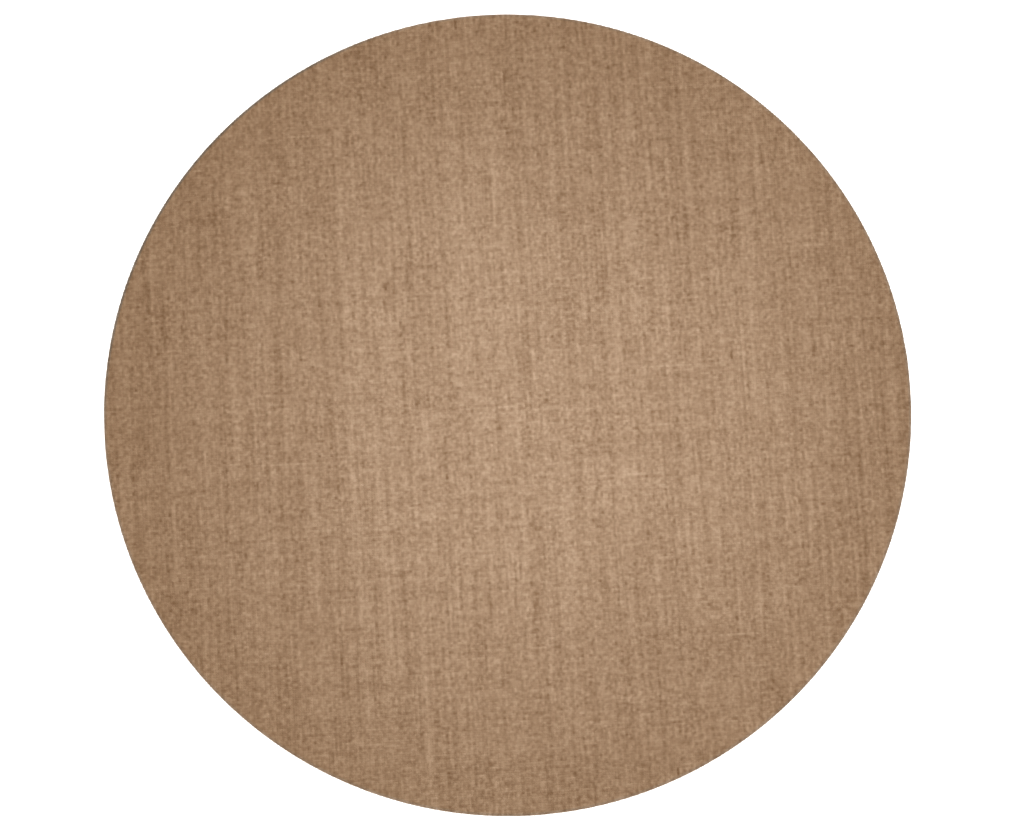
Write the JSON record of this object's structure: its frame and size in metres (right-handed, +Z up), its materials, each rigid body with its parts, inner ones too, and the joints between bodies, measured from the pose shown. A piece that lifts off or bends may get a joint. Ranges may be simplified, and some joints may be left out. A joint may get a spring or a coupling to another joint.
{
  "type": "round sisal rug",
  "caption": "Flat round rug of plainly woven sisal, one stiff cloth disc with an eased cut rim, lying on a floor.",
  "frame": {"origin": "middle of the flat underside, on the floor", "axes": "+Z is up through the rug's middle, the axis that it is round about; +Y runs along the warp yarns and +X along the weft yarns"},
  "size_m": [2, 2, 0.007],
  "materials": {
    "sisal": "matt undyed sisal in a plain weave, light golden brown, with slubby darker and lighter yarns"
  },
  "bodies": {
    "root": {"rug": "sisal"}
  },
  "joints": []
}
